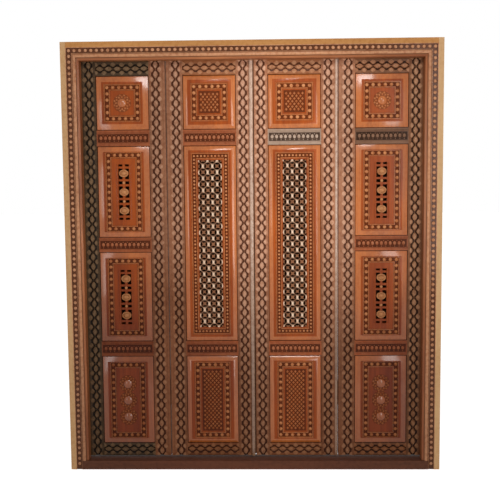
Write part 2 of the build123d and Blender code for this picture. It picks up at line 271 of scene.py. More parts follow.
def relief_group():
    """Painted shade down in the carving, by a point's depth, full at Floor; worn tops with a painted
    highlight at Top.

    Both fade out behind End.
    """
    fade = 0.002
    group, start, end = new_group(
        "carved_relief",
        [("Vector", "Vector", None), ("Floor", "Float", 0.02), ("Top", "Float", 0.0), ("End", "Float", 1.0)],
        [("Shade_in_hollows", "Float"), ("Wear_and_highlight", "Float")],
    )
    split = group.nodes.new("ShaderNodeSeparateXYZ")
    group.links.new(start.outputs["Vector"], split.inputs[0])
    depth = spread(group, split.outputs["Y"], start.outputs["Top"], start.outputs["Floor"])
    past = maths(group, "ADD", start.outputs["End"], fade)
    behind = spread(group, split.outputs["Y"], start.outputs["End"], past, 1.0, 0.0)
    depth = maths(group, "MULTIPLY", depth, behind)
    patches = noise(group, start.outputs["Vector"], 60.0)
    # Painted shade, full at the carving's floor.
    hollow_shade = maths(group, "MULTIPLY", depth, spread(group, patches, 0.25, 0.6, 0.75, 1.0), clamp=True)
    group.links.new(hollow_shade, end.inputs["Shade_in_hollows"])
    # Worn tops, lightened partly by wear and partly as a painted highlight.
    proud = maths(group, "MULTIPLY", maths(group, "SUBTRACT", 1.0, depth), behind)
    wear_and_highlight_share = maths(group, "MULTIPLY", proud, spread(group, patches, 0.30, 0.60, 0.35, 1.0))
    group.links.new(wear_and_highlight_share, end.inputs["Wear_and_highlight"])
    return group


def painted_shade_and_stain_group():
    """Painted shade over the whole door, darker towards its foot and towards its sides away from the best-lit
    middle, with random stain blotches.
    """
    brightest_x = 0.15
    darkest_reach = 0.85
    bright_from, dark_by = 1.35, 0.35
    group, start, end = new_group(
        "painted_shade_and_stain", [("Vector", "Vector", None)], [("Shade", "Float"), ("Blotch", "Float")]
    )
    split = group.nodes.new("ShaderNodeSeparateXYZ")
    group.links.new(start.outputs["Vector"], split.inputs[0])
    low = spread(group, split.outputs["Z"], bright_from, dark_by)
    off_centre = maths(group, "ABSOLUTE", maths(group, "SUBTRACT", split.outputs["X"], brightest_x))
    side = spread(group, off_centre, 0.0, darkest_reach)
    blotch = noise(group, start.outputs["Vector"], 3.5, detail=4.0, roughness=0.6)
    shade = maths(group, "ADD", maths(group, "MULTIPLY", low, 0.85), maths(group, "MULTIPLY", side, 0.75))
    group.links.new(shade, end.inputs["Shade"])
    group.links.new(spread(group, blotch, 0.35, 0.65), end.inputs["Blotch"])
    return group


GRAIN = grain_group()
RELIEF = relief_group()
SHADE_AND_STAIN = painted_shade_and_stain_group()
# The colour that full painted shade multiplies the wood towards.
PAINTED_SHADE_COLOUR = (0.31, 0.245, 0.185, 1.0)


def use_group(tree, group, vector, **values):
    """A copy of a node group at work in a material."""
    node = tree.nodes.new("ShaderNodeGroup")
    node.node_tree = group
    tree.links.new(vector, node.inputs["Vector"])
    for label, value in values.items():
        node.inputs[label].default_value = value
    return node


def new_material(name):
    """A material, its node tree and its shader."""
    material = bpy.data.materials.new(name)
    material.use_nodes = True
    return material, material.node_tree, material.node_tree.nodes["Principled BSDF"]


def roughen(tree, shader, height, strength, distance):
    """Lets a height show as fine relief."""
    bump = tree.nodes.new("ShaderNodeBump")
    bump.inputs["Strength"].default_value = strength
    bump.inputs["Distance"].default_value = distance
    tree.links.new(height, bump.inputs["Height"])
    tree.links.new(bump.outputs["Normal"], shader.inputs["Normal"])


def wood(
    name, heart, dark, hollow_shade, worn_highlight_tone, floor=0.2, top=0.1, end=1.0,
    across=False, shade=0.5, rough=0.46, wear_and_highlight_share=0.35, coat=0.04,
):
    """A carved and oiled wood.

    Heart and dark are its two tones. The third tone colours its pores and the painted shade down in the
    carving; the fourth colours worn tops, which also carry a painted highlight.
    Across turns the grain from upright to level, and shade sets how far the painted shade darkens it towards
    the door's foot and sides.
    """
    material, tree, shader = new_material(name)
    place = tree.nodes.new("ShaderNodeTexCoord").outputs["Object"]
    turned = tree.nodes.new("ShaderNodeMapping")
    turned.inputs["Rotation"].default_value = (0.0, math.radians(90) if across else 0.0, 0.0)
    tree.links.new(place, turned.inputs["Vector"])
    grain = use_group(tree, GRAIN, turned.outputs["Vector"])
    relief = use_group(tree, RELIEF, place, Floor=floor, Top=top, End=end)
    shade_and_stain = use_group(tree, SHADE_AND_STAIN, place)
    base = mixed(tree, grain.outputs["Streaks"], colour(*dark), colour(*heart))
    base = mixed(tree, maths(tree, "MULTIPLY", grain.outputs["Pores"], 0.35), base, colour(*hollow_shade))
    stain = maths(tree, "MULTIPLY", shade_and_stain.outputs["Blotch"], 0.3)
    base = mixed(tree, stain, base, colour(*dark))
    # Worn tops with a painted highlight.
    worn_highlight_mix = maths(tree, "MULTIPLY", relief.outputs["Wear_and_highlight"], wear_and_highlight_share)
    base = mixed(tree, worn_highlight_mix, base, colour(*worn_highlight_tone))
    # Painted shade down in the carving's hollows and openings.
    base = mixed(tree, relief.outputs["Shade_in_hollows"], base, colour(*hollow_shade))
    # Painted shade: darker towards the door's foot and sides.
    painted_shade = maths(tree, "MULTIPLY", shade_and_stain.outputs["Shade"], shade, clamp=True)
    base = mixed(tree, painted_shade, base, PAINTED_SHADE_COLOUR, "MULTIPLY")
    tree.links.new(base, shader.inputs["Base Color"])
    dull = maths(tree, "MULTIPLY", relief.outputs["Shade_in_hollows"], 0.35)
    uneven = maths(tree, "MULTIPLY", grain.outputs["Streaks"], -0.08)
    roughness = maths(tree, "ADD", maths(tree, "ADD", dull, rough + 0.04), uneven)
    tree.links.new(roughness, shader.inputs["Roughness"])
    shader.inputs["Specular IOR Level"].default_value = 0.1
    shader.inputs["Coat Weight"].default_value = coat
    shader.inputs["Coat Roughness"].default_value = 0.15
    roughen(tree, shader, grain.outputs["Height"], 0.25, 0.0006)
    return material


def hinge_iron():
    """Blackened iron with a little rust."""
    material, tree, shader = new_material("hinge_iron")
    place = tree.nodes.new("ShaderNodeTexCoord").outputs["Object"]
    rust = spread(tree, noise(tree, place, 140.0, detail=5.0), 0.52, 0.68)
    tree.links.new(mixed(tree, rust, colour(46, 44, 42), colour(98, 58, 34)), shader.inputs["Base Color"])
    bare = maths(tree, "SUBTRACT", 0.85, maths(tree, "MULTIPLY", rust, 0.6))
    tree.links.new(bare, shader.inputs["Metallic"])
    tree.links.new(spread(tree, rust, 0.0, 1.0, 0.42, 0.8), shader.inputs["Roughness"])
    roughen(tree, shader, noise(tree, place, 300.0), 0.3, 0.0004)
    return material


# Tones of each wood: heart, dark, the colour of pores and of painted shade in hollows, and the colour of worn
# tops with their painted highlight
# Colours of the painted shade in grooves, hollows and openings
GROOVE_SHADE = (86, 48, 30)
BLACK_SHADE = (24, 16, 9)
BROWN_SHADE = (48, 26, 15)
FRAME_TONES = ((180, 114, 70), (128, 70, 38), (84, 46, 24), (216, 164, 124))
SILL_TONES = ((84, 44, 28), (58, 29, 18), (56, 26, 14), (112, 68, 46))
SIDE_STRIP_TONES = ((184, 146, 104), (160, 118, 76), (130, 92, 56), (200, 164, 122))
TOP_STRIP_TONES = ((180, 124, 68), (150, 98, 48), (114, 70, 32), (194, 144, 90))
STILE_TONES = ((172, 108, 72), (122, 70, 42), GROOVE_SHADE, (212, 160, 126))
# This and the other link tones are lighter copies of their stile's or rail's wood: a painted highlight on the
# raised links
LINK_TONES = ((194, 134, 98), (148, 92, 62), GROOVE_SHADE, (236, 192, 162))
# The astragal and one fold bead are a lighter copy of the stile wood, a painted highlight besides their real
# gloss
ASTRAGAL_TONES = ((176, 132, 104), (138, 94, 68), GROOVE_SHADE, (226, 196, 172))
# A near-black copy of the stile wood for the left outer leaf's hinge stile and rails: painted shade
BLACK_TONES = ((66, 46, 27), (44, 30, 16), BLACK_SHADE, (96, 74, 50))
BLACK_LINK_TONES = ((96, 72, 46), (64, 46, 28), BLACK_SHADE, (150, 120, 90))
BROWN_TONES = ((140, 88, 56), (96, 58, 34), BROWN_SHADE, (172, 122, 88))
BROWN_LINK_TONES = ((164, 112, 76), (120, 76, 48), BROWN_SHADE, (208, 160, 122))
CHAIN_RAIL_TONES = ((152, 86, 46), (108, 58, 29), GROOVE_SHADE, (190, 132, 92))
RAIL_LINK_TONES = ((172, 108, 68), (126, 74, 44), GROOVE_SHADE, (208, 156, 118))
RAIL_TONES = ((170, 84, 40), (124, 54, 22), (86, 40, 17), (218, 152, 108))
GREY_RAIL_TONES = ((122, 84, 60), (88, 56, 38), (52, 32, 20), (160, 124, 98))
PALE_RAIL_TONES = ((172, 142, 120), (130, 102, 82), (66, 48, 37), (214, 192, 172))
PANEL_TONES = ((184, 88, 25), (136, 57, 14), (96, 43, 16), (226, 160, 108))
# Bevels, fillets and bosses get a lighter copy of the panel wood: a painted highlight besides their real
# gloss
BEVEL_TONES = ((206, 112, 44), (160, 80, 27), (96, 43, 16), (236, 172, 116))
DISC_TONES = ((196, 128, 76), (152, 90, 48), (26, 14, 8), (226, 170, 120))
LATTICE_TONES = ((246, 216, 184), (206, 164, 130), (104, 64, 40), (252, 240, 222))
BOARD_TONES = ((118, 72, 42), (84, 48, 26), BLACK_SHADE, (118, 72, 42))

# Depths over which each kind of carving takes its painted shade in the hollows and its worn,
# painted-highlight tops
CHAIN_FLOOR = LEAF_FRONT + CHANNEL_DEPTH
BAND = {"floor": BAND_FLOOR - 0.0005, "top": BAND_FLOOR - 0.0035, "end": BAND_FLOOR + 0.0005}
CHAIN = {"floor": CHAIN_FLOOR - 0.0005, "top": CHAIN_FLOOR - 0.0045, "end": CHAIN_FLOOR + 0.001}
BAR = {"floor": LEAF_FRONT - 0.0022, "top": LEAF_FRONT - 0.0050, "end": LEAF_FRONT}
RING = {"floor": PANEL_FRONT + 0.0045, "top": PANEL_FRONT + 0.0010}
NET = {"floor": PANEL_FRONT - 0.0002, "top": PANEL_FRONT - 0.0024}
# Painted shade: the back boards' front faces, seen through the openings, are painted near-black, and their
# backs are not
BOARD_FRONT_SHADE = {"floor": PANEL_BACK - 0.0005, "top": PANEL_BACK - 0.003, "end": PANEL_BACK + 0.0005}
# Painted shade down the walls of the openings, on the discs, their backs and the lattice's crosses
OPEN_WORK = {"floor": PANEL_FRONT + 0.012, "top": PANEL_FRONT + 0.004}
# Painted shade on the lattice's sunken bridges, leaving its raised stars light
STARS = {"floor": PANEL_FRONT + 0.0023, "top": PANEL_FRONT + 0.0006}

FRAME_LOOK = {"shade": 0.35, "wear_and_highlight_share": 0.5, "coat": 0.15}
BARE_LOOK = {"rough": 0.6, "coat": 0.0}

frame_wood = wood("frame_wood", *FRAME_TONES, **BAND, **FRAME_LOOK)
frame_wood_across = wood("frame_wood_across", *FRAME_TONES, **BAND, **FRAME_LOOK, across=True)
sill_wood = wood("sill_wood", *SILL_TONES, across=True, shade=0.2)
strip_wood = wood("strip_wood", *SIDE_STRIP_TONES, **BARE_LOOK, shade=0.12)
strip_wood_across = wood("strip_wood_across", *TOP_STRIP_TONES, **BARE_LOOK, across=True, shade=0.1)
stile_wood = wood("stile_wood", *STILE_TONES, **CHAIN, shade=1.05)
link_wood = wood("link_wood", *LINK_TONES, **CHAIN, shade=1.05, wear_and_highlight_share=0.5)
rail_wood = wood("rail_wood", *CHAIN_RAIL_TONES, **CHAIN, across=True, shade=0.95)
rail_link_wood = wood("rail_link_wood", *RAIL_LINK_TONES, **CHAIN, across=True, shade=0.95, wear_and_highlight_share=0.5)
astragal_wood = wood("astragal_wood", *ASTRAGAL_TONES, shade=1.1, rough=0.25, wear_and_highlight_share=0.5, coat=0.9)
dark_stile_wood = wood("dark_stile_wood", *BLACK_TONES, **CHAIN, shade=0.4)
dark_rail_wood = wood("dark_rail_wood", *BLACK_TONES, **CHAIN, across=True, shade=0.4)
dark_link_wood = wood("dark_link_wood", *BLACK_LINK_TONES, **CHAIN, shade=0.5, wear_and_highlight_share=0.5)
brown_stile_wood = wood("brown_stile_wood", *BROWN_TONES, **CHAIN, shade=0.6)
brown_rail_wood = wood("brown_rail_wood", *BROWN_TONES, **CHAIN, across=True, shade=1.1)
brown_link_wood = wood("brown_link_wood", *BROWN_LINK_TONES, **CHAIN, shade=0.6, wear_and_highlight_share=0.5)
petal_rail_wood = wood("petal_rail_wood", *RAIL_TONES, end=LEAF_FRONT, across=True, shade=0.75, wear_and_highlight_share=0.2)
bar_wood = wood("bar_wood", *RAIL_TONES, **BAR, across=True, shade=0.75, wear_and_highlight_share=0.4)
grey_rail_wood = wood("grey_rail_wood", *GREY_RAIL_TONES, end=LEAF_FRONT, across=True, shade=0.6, wear_and_highlight_share=0.2)
grey_bar_wood = wood("grey_bar_wood", *GREY_RAIL_TONES, **BAR, across=True, shade=0.6, wear_and_highlight_share=0.4)
pale_rail_wood = wood("pale_rail_wood", *PALE_RAIL_TONES, end=LEAF_FRONT, across=True, shade=0.6, wear_and_highlight_share=0.2)
pale_bar_wood = wood("pale_bar_wood", *PALE_RAIL_TONES, **BAR, across=True, shade=0.6, wear_and_highlight_share=0.4)
panel_wood = wood("panel_wood", *PANEL_TONES, shade=0.75, rough=0.40, wear_and_highlight_share=0.0, coat=0.10)
bevel_wood = wood("bevel_wood", *BEVEL_TONES, shade=0.7, rough=0.30, wear_and_highlight_share=0.12, coat=0.55)
groove_wood = wood("groove_wood", *PANEL_TONES, **RING, shade=0.75, wear_and_highlight_share=0.7)
net_wood = wood("net_wood", *PANEL_TONES, **NET, shade=0.75, wear_and_highlight_share=0.45)
disc_wood = wood("disc_wood", *DISC_TONES, **OPEN_WORK, shade=0.6)
lattice_wood = wood("lattice_wood", *LATTICE_TONES, **STARS, shade=0.45)
gem_wood = wood("gem_wood", *BROWN_TONES, **OPEN_WORK, shade=0.45)
board_wood = wood("board_wood", *BOARD_TONES, **BOARD_FRONT_SHADE, shade=0.5, rough=0.7, coat=0.0)
iron = hinge_iron()


# Shapes that repeat, each made once. Local x and y lie in the door's face and z comes out of it.

def pattern(bm, smooth=True):
    """A finished small shape as a mesh that can be set in many places."""
    bmesh.ops.recalc_face_normals(bm, faces=bm.faces)
    for face in bm.faces:
        face.smooth = smooth
    mesh = bpy.data.meshes.new("pattern")
    bm.to_mesh(mesh)
    bm.free()
    return mesh


def verts_of(geometry):
    """The vertices among what an operator gives back."""
    return [item for item in geometry if isinstance(item, bmesh.types.BMVert)]


def close_holes(bm):
    bmesh.ops.holes_fill(bm, edges=[edge for edge in bm.edges if edge.is_boundary])


def cut_away(bm, normal, reach=0.0, close=True):
    """Takes off what lies further than reach along a normal, and closes the cut."""
    normal = Vector(normal)
    bmesh.ops.bisect_plane(
        bm, geom=bm.verts[:] + bm.edges[:] + bm.faces[:],
        plane_co=normal * reach, plane_no=normal, clear_outer=True,
    )
    if close:
        close_holes(bm)


def pearl(radius, height, sides=10):
    """A low dome with a flat closed foot."""
    bm = bmesh.new()
    bmesh.ops.create_uvsphere(bm, u_segments=sides, v_segments=6, radius=1.0)
    cut_away(bm, (0, 0, -1))
    bmesh.ops.scale(bm, vec=(radius, radius, height), verts=bm.verts)
    return pattern(bm)


def petal(length, width, height):
    """A petal whose foot is at the origin and whose tip points along y."""
    bm = bmesh.new()
    bmesh.ops.create_uvsphere(bm, u_segments=8, v_segments=4, radius=1.0)
    cut_away(bm, (0, 0, -1))
    bmesh.ops.translate(bm, vec=(0, 1, 0), verts=bm.verts)
    bmesh.ops.scale(bm, vec=(width / 2, length / 2, height), verts=bm.verts)
    return pattern(bm)


def lozenge(width, length, height, crown, sides=8):
    """A pointed lozenge with sloping sides and a flat crown."""
    bm = bmesh.new()
    bmesh.ops.create_cone(bm, cap_ends=True, segments=sides, radius1=1.0, radius2=crown, depth=1.0)
    bmesh.ops.translate(bm, vec=(0, 0, 0.5), verts=bm.verts)
    for vert in bm.verts:
        if abs(vert.co.x) < 0.01:
            vert.co.y *= LOZENGE_POINT
    bmesh.ops.scale(bm, vec=(width / 2, length / 2 / LOZENGE_POINT, height), verts=bm.verts)
    return pattern(bm, smooth=False)


def stud(radius, height, sides=6):
    """A flat many-sided plate with a sloping edge."""
    bm = bmesh.new()
    bmesh.ops.create_cone(
        bm, cap_ends=True, segments=sides, radius1=radius, radius2=radius - height, depth=height
    )
    bmesh.ops.translate(bm, vec=(0, 0, height / 2), verts=bm.verts)
    return pattern(bm, smooth=False)


def disc(radius, height, sides=20):
    """A turned disc: a flat rim, a groove and a dome in the middle."""
    profile = [
        (0.0, 1.0), (0.30, 0.92), (0.52, 0.66), (0.60, 0.42),
        (0.70, 0.42), (0.74, 0.78), (0.92, 0.70), (1.0, 0.0),
    ]
    bm = bmesh.new()
    verts = [bm.verts.new((x * radius, 0, z * height)) for x, z in profile]
    edges = [bm.edges.new(pair) for pair in zip(verts, verts[1:])]
    bmesh.ops.spin(
        bm, geom=verts + edges, cent=(0, 0, 0), axis=(0, 0, 1), angle=math.tau, steps=sides, use_merge=True
    )
    bmesh.ops.remove_doubles(bm, verts=bm.verts, dist=WELD)
    close_holes(bm)
    return pattern(bm)


def block(width, height, depth):
    """A box whose front stands at z = depth and whose back is at z = 0."""
    bm = bmesh.new()
    bmesh.ops.create_cube(bm, size=1.0)
    bmesh.ops.translate(bm, vec=(0, 0, 0.5), verts=bm.verts)
    bmesh.ops.scale(bm, vec=(width, height, depth), verts=bm.verts)
    return pattern(bm, smooth=False)


def rod(radius, length, sides=12):
    """A round rod along y."""
    bm = bmesh.new()
    bmesh.ops.create_cone(bm, cap_ends=True, segments=sides, radius1=radius, radius2=radius, depth=length)
    bmesh.ops.rotate(bm, cent=(0, 0, 0), matrix=Matrix.Rotation(math.radians(90), 3, "X"), verts=bm.verts)
    return pattern(bm)


def channelled(length, width, inset):
    """A leaf's board as long as local y, with a flat-bottomed channel in its front."""
    back = LEAF_FRONT - LEAF_BACK
    outline = [
        (0, 0), (inset, 0), (inset, -CHANNEL_DEPTH), (inset + CHANNEL_W, -CHANNEL_DEPTH),
        (inset + CHANNEL_W, 0), (width, 0), (width, back), (0, back),
    ]
    bm = bmesh.new()
    face = bm.faces.new([bm.verts.new((x, 0, z)) for x, z in outline])
    grown = bmesh.ops.extrude_face_region(bm, geom=[face], use_keep_orig=True)["geom"]
    bmesh.ops.translate(bm, vec=(0, length, 0), verts=verts_of(grown))
    edges = [edge for edge in bm.edges if abs(edge.verts[0].co.y - edge.verts[1].co.y) > length / 2]
    bmesh.ops.bevel(
        bm, geom=edges, offset=CHANNEL_ARRIS, offset_type="OFFSET", affect="EDGES", segments=2, profile=0.5,
        material=-1,
    )
    return pattern(bm, smooth=False)


def mirrored(shape):
    """A flat-sided shape turned left for right."""
    bm = bmesh.new()
    bm.from_mesh(shape)
    bmesh.ops.scale(bm, vec=(-1, 1, 1), verts=bm.verts)
    return pattern(bm, smooth=False)


def stepped_block(width, height, back, steps, opening=None):
    """A board whose front is worked in rectangular steps from its edge inwards.

    A step is its inset, its level, the finish of the faces it makes, and the width and height that it
    then has where these don't follow from the inset. The back is at z = back. With an opening the last
    field is cut right through to that size.
    """
    bm = bmesh.new()
    bmesh.ops.create_cube(bm, size=1.0)
    bmesh.ops.scale(bm, vec=(width, height, 1.0), verts=bm.verts)
    for vert in bm.verts:
        vert.co.z = steps[0][1] if vert.co.z > 0 else back
    front = max(bm.faces, key=lambda face: face.calc_center_median().z)
    rear = min(bm.faces, key=lambda face: face.calc_center_median().z)

    def resize(face, size):
        for vert in face.verts:
            vert.co.x = math.copysign(size[0] / 2, vert.co.x)
            vert.co.y = math.copysign(size[1] / 2, vert.co.y)

    for inset, level, finish, *size in steps[1:]:
        made = bmesh.ops.inset_region(bm, faces=[front], thickness=inset, use_even_offset=True)["faces"]
        for face in made:
            face.material_index = finish
        for vert in front.verts:
            vert.co.z = level
        if size:
            resize(front, size[0])
    if opening:
        # The inset only gives the opening's edge its own vertices: resize then sets its size.
        for face in (front, rear):
            bmesh.ops.inset_region(bm, faces=[face], thickness=0.001, use_even_offset=True)
            resize(face, opening)
        loops = list(front.edges) + list(rear.edges)
        bmesh.ops.delete(bm, geom=[front, rear], context="FACES_ONLY")
        bmesh.ops.bridge_loops(bm, edges=loops)
    return pattern(bm, smooth=False)


# Setting shapes in place

FACE_ON = Matrix(((1, 0, 0, 0), (0, 0, -1, 0), (0, 1, 0, 0), (0, 0, 0, 1)))
QUARTER_TURN = math.radians(90)


def at(x, z, y, turn=0.0):
    """The place in the door's face at x and z, with the local z = 0 at depth y."""
    return Matrix.Translation((x, y, z)) @ FACE_ON @ Matrix.Rotation(turn, 4, "Z")


def evenly(start, end, pitch):
    """Places from start to end, both included, about a pitch apart."""
    count = max(1, round((end - start) / pitch))
    return [start + (end - start) * step / count for step in range(count + 1)]


def ring_places(width, height, pitch):
    """Places round a rectangle, corner to corner, as (x, y)."""
    xs = evenly(-width / 2, width / 2, pitch)
    ys = evenly(-height / 2, height / 2, pitch)
    level = [(x, y) for x in xs for y in (ys[0], ys[-1])]
    upright = [(x, y) for y in ys[1:-1] for x in (xs[0], xs[-1])]
    return level + upright


class Piece:
    """One piece of the door while it is being put together from set shapes."""

    def __init__(self, name, *finishes):
        self.name = name
        self.finishes = finishes
        self.bm = bmesh.new()

    def add(self, shape, place, finish=0):
        """Sets a shape in place. finish is counted on from the shape's own."""
        verts, faces = len(self.bm.verts), len(self.bm.faces)
        self.bm.from_mesh(shape)
        self.bm.verts.ensure_lookup_table()
        self.bm.faces.ensure_lookup_table()
        bmesh.ops.transform(self.bm, matrix=place, verts=self.bm.verts[verts:])
        for face in self.bm.faces[faces:]:
            face.material_index += finish

    def trim(self, axis, low, high):
        """Cuts off what reaches past either end along an axis, and closes the cuts."""
        cut_away(self.bm, -Vector(axis), -low)
        cut_away(self.bm, Vector(axis), high)
        # After a cut new vertices aren't counted last, so the mesh starts afresh before add is used.
        trimmed = bpy.data.meshes.new("trimmed")
        self.bm.to_mesh(trimmed)
        self.bm.clear()
        self.bm.from_mesh(trimmed)

    def done(self, body, slot, *stands_for):
        """Makes the piece an object that rides on its body."""
        mesh = bpy.data.meshes.new(self.name)
        self.bm.to_mesh(mesh)
        self.bm.free()
        for finish in self.finishes:
            mesh.materials.append(finish)
        mesh.set_sharp_from_angle(angle=SHARP_FROM)
        piece = bpy.data.objects.new(self.name, mesh)
        bpy.context.scene.collection.objects.link(piece)
        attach(piece, body)
        if stands_for:
            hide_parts(*stands_for)

    def done_for(self, node):
        """Makes the piece the dressed form of one CAD piece."""
        self.done(BODY_OF_NODE[node], "carved_wood", node)


def lattice_cell(across, up, radius):
    """A flat lozenge with a round hole and with its four tips raised."""
    bm = bmesh.new()
    bmesh.ops.create_circle(bm, segments=4, radius=1.0)
    bmesh.ops.scale(bm, vec=(across / 2, up / 2, 1.0), verts=bm.verts)
    bmesh.ops.subdivide_edges(bm, edges=bm.edges[:], cuts=2)
    bmesh.ops.create_circle(bm, segments=12, radius=radius)
    bmesh.ops.bridge_loops(bm, edges=bm.edges[:])
    for vert in bm.verts:
        if max(abs(vert.co.x) * 2 / across, abs(vert.co.y) * 2 / up) > 0.99:
            vert.co.z = LATTICE_CREST
    return pattern(bm, smooth=False)


def lattice_gem(radius, thickness):
    """A cross with four arms that fills one hole of the lattice and is as deep as its board."""
    bm = bmesh.new()
    bmesh.ops.create_cone(
        bm, cap_ends=True, segments=8, radius1=radius * GEM_FOOT, radius2=radius * GEM_CROWN, depth=GEM_H
    )
    for vert in bm.verts:
        if min(abs(vert.co.x), abs(vert.co.y)) < 0.0001:
            vert.co *= Vector((GEM_WAIST, GEM_WAIST, 1.0))
    bmesh.ops.translate(bm, vec=(0, 0, -GEM_SINK - GEM_H / 2), verts=bm.verts)
    foot = min(bm.faces, key=lambda face: face.calc_center_median().z)
    grown = bmesh.ops.extrude_face_region(bm, geom=[foot])["geom"]
    bmesh.ops.translate(bm, vec=(0, 0, GEM_SINK + GEM_H - thickness), verts=verts_of(grown))
    return pattern(bm, smooth=False)


def ring_lattice(width, height, cell, radius, thickness):
    """A board pierced by staggered round holes, and the crosses in them. Its front is at z = 0."""
    across, up = cell
    pierced, gem = lattice_cell(across, up, radius), lattice_gem(radius, thickness)
    sheet, gems = Piece("lattice_sheet"), Piece("lattice_gems")
    rows, columns = math.ceil(height / up), math.ceil(width / across)
    for row in range(-rows, rows + 1):
        for column in range(-columns, columns + 1):
            place = Matrix.Translation(((column + 0.25 + 0.5 * (row % 2)) * across, row * up / 2, 0))
            sheet.add(pierced, place)
            gems.add(gem, place)
    bmesh.ops.remove_doubles(sheet.bm, verts=sheet.bm.verts, dist=WELD)
    for bm in (sheet.bm, gems.bm):
        for side, reach in (((1, 0, 0), width / 2), ((0, 1, 0), height / 2)):
            for way in (-1, 1):
                cut_away(bm, Vector(side) * way, reach, close=bm is gems.bm)
    grown = bmesh.ops.extrude_face_region(sheet.bm, geom=sheet.bm.faces[:], use_keep_orig=True)["geom"]
    bmesh.ops.translate(sheet.bm, vec=(0, 0, -thickness), verts=verts_of(grown))
    return pattern(sheet.bm, smooth=False), pattern(gems.bm, smooth=False)


PEARL = pearl(0.0095, 0.0070)
SMALL_PEARL = pearl(0.0062, 0.0050, 8)
TINY_PEARL = pearl(0.0036, 0.0030, 6)
FRAME_PEARL = pearl(0.0092, 0.0058)
LINK_BEAD = pearl(0.0075, 0.004)
BOSS = pearl(0.024, 0.014, 16)
LINK = lozenge(0.0275, 0.0460, 0.0085, 0.6)
SIDE_LINK = lozenge(0.0300, 0.0370, 0.0068, 0.6)
NET_LOZENGE = lozenge(0.0175, 0.0205, 0.0036, 0.35, 4)
LINK_STUD = stud(0.0042, 0.0020)
ROSE_PLATE = stud(0.044, 0.0012, 32)
PETAL = petal(0.0145, 0.0105, 0.0036)
ARCH_PETAL = petal(0.024, 0.019, 0.0042)
ROSE_DISC = disc(0.0235, 0.012)
LATTICE = ring_lattice(*LATTICE_OPENING, LATTICE_CELL, LATTICE_HOLE_R, LATTICE_THICKNESS)


# Stiles and rails

ON_BOARD, ON_LINKS, ON_EDGE = range(3)
ON_BAR = 1


def chain_run(piece, start, end, at_place):
    """A chain of lozenges between the ends of a channel. at_place(along, across, lift) gives a place."""
    count = round((end - start) / LINK_PITCH)
    pitch = (end - start) / count
    for step in range(count):
        middle = start + (step + 0.5) * pitch
        piece.add(LINK, at_place(middle, 0.0, 0.0), ON_LINKS)
        piece.add(LINK_STUD, at_place(middle, 0.0, LINK_STUD_LIFT), ON_LINKS)
    for step in range(count + 1):
        joint = start + step * pitch
        if step == 0:
            joint += END_LINK_SHIFT
        if step == count:
            joint -= END_LINK_SHIFT
        for side in (-1, 1):
            piece.add(SIDE_LINK, at_place(joint, side * CHANNEL_W / 2, 0.0), ON_LINKS)
        if 0 < step < count:
            piece.add(TINY_PEARL, at_place(joint, 0.0, 0.0), ON_LINKS)


def add_astragal(piece, side, outer_edge, low_z, high_z):
    """The half-round along a meeting stile, its fillet, and the lip behind it that covers the gap."""
    length, middle_z = high_z - low_z, (low_z + high_z) / 2
    round_x = outer_edge - side * ASTRAGAL_R
    half_round = rod(ASTRAGAL_R, length - ROUND_CUT_SHORT, 24)
    piece.add(half_round, at(round_x, middle_z - ROUND_CUT_SHORT / 2, LEAF_FRONT), ON_EDGE)
    piece.add(rod(FILLET_R, length), at(round_x - side * ASTRAGAL_FILLET_REACH, middle_z, LEAF_FRONT))
    lip_x = outer_edge + side * (MEETING_GAP / 2 - LIP_CLEARANCE)
    piece.add(block(MEETING_GAP, length, LIP_T), at(lip_x, middle_z, LEAF_BACK))


def add_edge_bead(piece, side, outer_edge, low_z, high_z):
    """The flattened bead along a fold stile."""
    bead = rod(EDGE_BEAD_W / 2 - EDGE_BEAD_MARGIN, high_z - low_z - ROUND_CUT_SHORT, 16)
    place = at(outer_edge - side * EDGE_BEAD_W / 2, (low_z + high_z - ROUND_CUT_SHORT) / 2, LEAF_FRONT)
    piece.add(bead, place @ Matrix.Diagonal((1, 1, EDGE_BEAD_FLATNESS, 1)), ON_EDGE)


def make_stile(node, side, edge, finish, link_finish, edge_finish):
    """A stile. side is the way from its panel to its outer edge, -1 to the left and 1 to the right."""
    low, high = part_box(node)
    width, length = high.x - low.x, high.z - low.z
    panel_edge, outer_edge = (low.x, high.x) if side > 0 else (high.x, low.x)
    piece = Piece(f"carved_{node}", finish, link_finish, edge_finish)
    middle = panel_edge + side * (CHANNEL_INSET + CHANNEL_W / 2)
    chain_run(
        piece, low.z, high.z, lambda along, across, lift: at(middle + across, along, CHAIN_FLOOR - lift)
    )
    piece.trim((0, 0, 1), low.z + CHAIN_END, high.z - CHAIN_END)
    board = channelled(length, width, CHANNEL_INSET)
    piece.add(board if side > 0 else mirrored(board), at(panel_edge, low.z, LEAF_FRONT), ON_BOARD)
    fillet = rod(FILLET_R, length)
    for reach in FILLET_REACHES:
        piece.add(fillet, at(panel_edge + side * reach, (low.z + high.z) / 2, LEAF_FRONT))
    if edge == "astragal":
        add_astragal(piece, side, outer_edge, low.z, high.z)
    if edge == "bead":
        add_edge_bead(piece, side, outer_edge, low.z, high.z)
    piece.done_for(node)


def make_chained_rail(node, finish, link_finish, chain_lift):
    """A top or bottom rail whose chain's middle lies chain_lift above the rail's foot."""
    low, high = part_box(node)
    piece = Piece(f"carved_{node}", finish, link_finish)
    middle = low.z + chain_lift
    chain_run(
        piece, low.x, high.x,
        lambda along, across, lift: at(along, middle + across, CHAIN_FLOOR - lift, QUARTER_TURN),
    )
    piece.trim((1, 0, 0), low.x + CHAIN_END, high.x - CHAIN_END)
    board = channelled(high.x - low.x, high.z - low.z, chain_lift - CHANNEL_W / 2)
    piece.add(board, at(high.x, low.z, LEAF_FRONT, QUARTER_TURN), ON_BOARD)
    piece.done_for(node)


